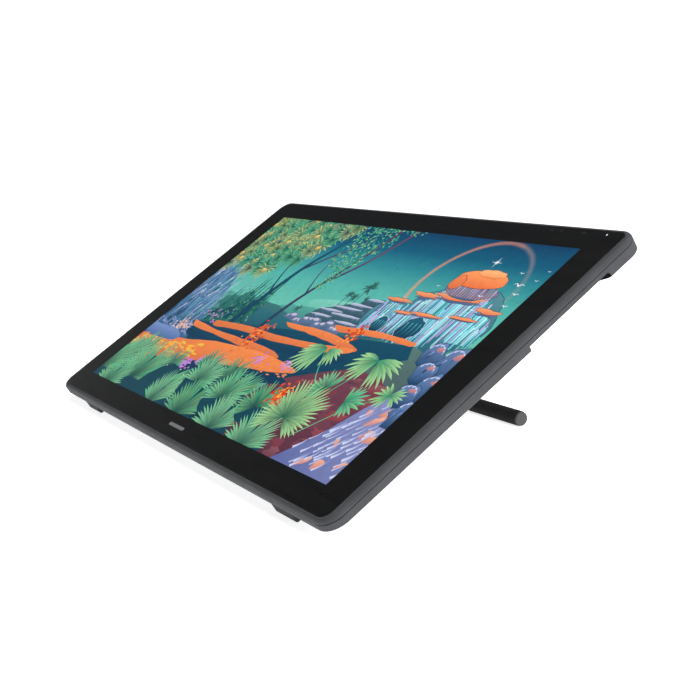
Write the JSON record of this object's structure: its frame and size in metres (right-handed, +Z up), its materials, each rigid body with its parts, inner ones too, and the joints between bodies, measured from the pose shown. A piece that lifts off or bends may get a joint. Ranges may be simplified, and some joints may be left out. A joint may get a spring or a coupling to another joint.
{
  "type": "pen drawing tablet",
  "caption": "Large flat pen display with a glass front and a wedge-shaped grey back, leaning on a folding T-shaped stand with a rubber-sleeved crossbar.",
  "frame": {"origin": "on the ground, under the middle of the whole object as it stands", "axes": "+Z up, +X to the user's right along the long side of the screen, +Y away from the user; the glass leans 32 degrees from the horizontal"},
  "size_m": [0.5512, 0.3054, 0.1861],
  "materials": {
    "shell_grey": "fine matt texture",
    "screen_glass": "anti-glare, black printed border",
    "black_plastic": "matt",
    "black_rubber": "matt",
    "cap_grey": "matt",
    "screen_panel": "lit picture",
    "clear_acrylic": "clear",
    "white_lens": "diffuse white",
    "circuit_board": "solder mask",
    "ribbon_film": "polyimide film",
    "sheet_aluminium": "plain sheet",
    "bright_steel": "plated",
    "dark_steel": "black powder coat",
    "brass": "machined"
  },
  "bodies": {
    "tablet": {"front_frame": "shell_grey", "rear_cover": "shell_grey", "cover_glass": "screen_glass", "port_bezel": "black_plastic", "glass_gasket": "black_rubber", "foot_left": "black_rubber", "foot_right": "black_rubber", "rear_pad_left": "black_rubber", "rear_pad_right": "black_rubber", "lcd_panel": "screen_panel", "light_guide": "clear_acrylic", "led_light_bar": "white_lens", "status_light_pipe": "white_lens", "pen_sensor_board": "circuit_board", "main_board": "circuit_board", "button_board": "circuit_board", "display_ribbon": "ribbon_film", "panel_chassis": "sheet_aluminium", "sensor_shield": "bright_steel", "usb_c_socket_1": "bright_steel", "usb_c_socket_2": "bright_steel", "hdmi_socket": "bright_steel", "power_socket": "bright_steel", "vesa_backing_plate": "bright_steel", "hinge_pin": "bright_steel", "hinge_nut": "bright_steel", "brake_drum": "bright_steel", "stand_screw_1": "bright_steel", "stand_screw_2": "bright_steel", "stand_screw_3": "bright_steel", "stand_screw_4": "bright_steel", "stand_base_plate": "dark_steel", "case_screw_1": "dark_steel", "case_screw_2": "dark_steel", "case_screw_3": "dark_steel", "case_screw_4": "dark_steel", "case_screw_5": "dark_steel", "case_screw_6": "dark_steel", "vesa_insert_1": "brass", "vesa_insert_2": "brass", "vesa_insert_3": "brass", "vesa_insert_4": "brass", "hinge_washer_left": "brass", "hinge_washer_right": "brass"},
    "leg": {"stand_leg": "dark_steel", "crossbar_tube": "bright_steel", "rubber_sleeve_left": "black_rubber", "rubber_sleeve_right": "black_rubber", "end_cap_left": "cap_grey", "end_cap_right": "cap_grey", "lever_pin": "bright_steel", "lever_spring": "bright_steel"},
    "lever": {"release_lever": "dark_steel"},
    "power_key": {"power_button": "black_plastic"},
    "menu_key_1": {"menu_key_1": "black_plastic"},
    "menu_key_2": {"menu_key_2": "black_plastic"},
    "menu_key_3": {"menu_key_3": "black_plastic"},
    "menu_key_4": {"menu_key_4": "black_plastic"}
  },
  "joints": [
    {"name": "leg_fold", "type": "hinge", "parent": "tablet", "child": "leg", "pos_m": [0, -0.02453, 0.05711], "axis": [1, 0, 0], "range_deg": [-74, 46]},
    {"name": "lever_squeeze", "type": "hinge", "parent": "leg", "child": "lever", "pos_m": [0, -0.00747, 0.04427], "axis": [1, 0, 0], "range_deg": [0, 8], "stiffness_Nm_per_rad": 2, "springref_deg": -5.73, "deforming": ["lever_spring"]},
    {"name": "power_key_press", "type": "slide", "parent": "tablet", "child": "power_key", "axis": [0, -0.848, -0.5299], "range_m": [0, 0.0008], "stiffness_N_per_m": 800, "springref_m": -0.0005},
    {"name": "menu_key_1_press", "type": "slide", "parent": "tablet", "child": "menu_key_1", "axis": [0, -0.848, -0.5299], "range_m": [0, 0.0008], "stiffness_N_per_m": 800, "springref_m": -0.0005},
    {"name": "menu_key_2_press", "type": "slide", "parent": "tablet", "child": "menu_key_2", "axis": [0, -0.848, -0.5299], "range_m": [0, 0.0008], "stiffness_N_per_m": 800, "springref_m": -0.0005},
    {"name": "menu_key_3_press", "type": "slide", "parent": "tablet", "child": "menu_key_3", "axis": [0, -0.848, -0.5299], "range_m": [0, 0.0008], "stiffness_N_per_m": 800, "springref_m": -0.0005},
    {"name": "menu_key_4_press", "type": "slide", "parent": "tablet", "child": "menu_key_4", "axis": [0, -0.848, -0.5299], "range_m": [0, 0.0008], "stiffness_N_per_m": 800, "springref_m": -0.0005}
  ]
}
